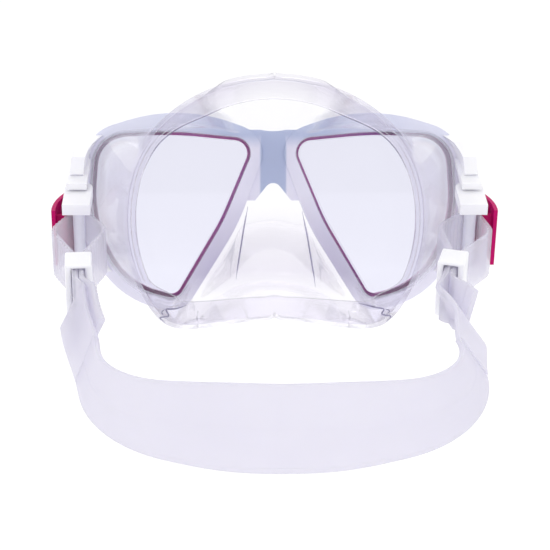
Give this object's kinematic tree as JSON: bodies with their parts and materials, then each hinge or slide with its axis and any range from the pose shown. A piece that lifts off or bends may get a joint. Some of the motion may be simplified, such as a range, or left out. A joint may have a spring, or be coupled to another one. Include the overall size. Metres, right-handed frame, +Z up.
{
  "type": "diving mask",
  "caption": "Low-profile diving mask with separate lenses, a soft clear skirt with a nose pocket, swivelling quick-release buckles and an adjustable head strap.",
  "frame": {"origin": "centre of the flat front face of the nose bridge", "axes": "+X to the wearer's right, +Y forward out of the front face, +Z up"},
  "size_m": [0.182, 0.1886, 0.1417],
  "materials": {
    "frame_plastic": "pale lilac-grey moulded polycarbonate, glossy",
    "lens_glass": "clear flat tempered glass",
    "ring_plastic": "magenta moulded plastic, glossy",
    "clear_silicone": "clear liquid silicone, glossy, faint lilac tint",
    "white_plastic": "white moulded acetal, satin",
    "roller_plastic": "white moulded acetal, satin",
    "pin_steel": "ground stainless steel pin",
    "lever_plastic": "magenta moulded plastic, glossy",
    "spring_steel": "drawn stainless spring wire",
    "strap_silicone": "milky translucent silicone, satin"
  },
  "bodies": {
    "mask": {"frame": "frame_plastic", "lens_left": "lens_glass", "lens_right": "lens_glass", "retainer_left": "ring_plastic", "retainer_right": "ring_plastic", "skirt": "clear_silicone", "bracket_left": "white_plastic", "bracket_right": "white_plastic", "pivot_pin_left": "pin_steel", "pivot_pin_right": "pin_steel", "strap_band": "strap_silicone"},
    "buckle_left": {"buckle_body_left": "white_plastic", "roller_pin_left": "pin_steel", "lever_pin_left": "pin_steel", "lever_spring_left": "spring_steel", "strap_end_left": "strap_silicone"},
    "lever_left": {"release_lever_left": "lever_plastic"},
    "turning_roller_left": {"roller_left": "roller_plastic"},
    "sliding_keeper_left": {"keeper_left": "white_plastic"},
    "buckle_right": {"buckle_body_right": "white_plastic", "roller_pin_right": "pin_steel", "lever_pin_right": "pin_steel", "lever_spring_right": "spring_steel", "strap_end_right": "strap_silicone"},
    "lever_right": {"release_lever_right": "lever_plastic"},
    "turning_roller_right": {"roller_right": "roller_plastic"},
    "sliding_keeper_right": {"keeper_right": "white_plastic"}
  },
  "joints": [
    {"name": "buckle_swivel_left", "type": "hinge", "parent": "mask", "child": "buckle_left", "pos_m": [-0.08, -0.023, -0.028], "axis": [0, 0.4067, -0.9135], "range_deg": [-5, 25]},
    {"name": "lever_lift_left", "type": "hinge", "parent": "buckle_left", "child": "lever_left", "pos_m": [-0.0846, -0.01971, -0.02654], "axis": [0, 0.4067, -0.9135], "range_deg": [0, 18]},
    {"name": "roller_turn_left", "type": "hinge", "parent": "buckle_left", "child": "turning_roller_left", "pos_m": [-0.08, -0.03396, -0.03288], "axis": [0, 0.4067, -0.9135], "continuous": true},
    {"name": "keeper_slide_left", "type": "slide", "parent": "buckle_left", "child": "sliding_keeper_left", "axis": [0.0698, -0.9113, -0.4057], "range_m": [0, 0.005]},
    {"name": "buckle_swivel_right", "type": "hinge", "parent": "mask", "child": "buckle_right", "pos_m": [0.08, -0.023, -0.028], "axis": [0, -0.4067, 0.9135], "range_deg": [-5, 25]},
    {"name": "lever_lift_right", "type": "hinge", "parent": "buckle_right", "child": "lever_right", "pos_m": [0.0846, -0.01971, -0.02654], "axis": [0, -0.4067, 0.9135], "range_deg": [0, 18]},
    {"name": "roller_turn_right", "type": "hinge", "parent": "buckle_right", "child": "turning_roller_right", "pos_m": [0.08, -0.03396, -0.03288], "axis": [0, -0.4067, 0.9135], "continuous": true},
    {"name": "keeper_slide_right", "type": "slide", "parent": "buckle_right", "child": "sliding_keeper_right", "axis": [-0.2756, -0.8782, -0.391], "range_m": [0, 0.005]}
  ]
}
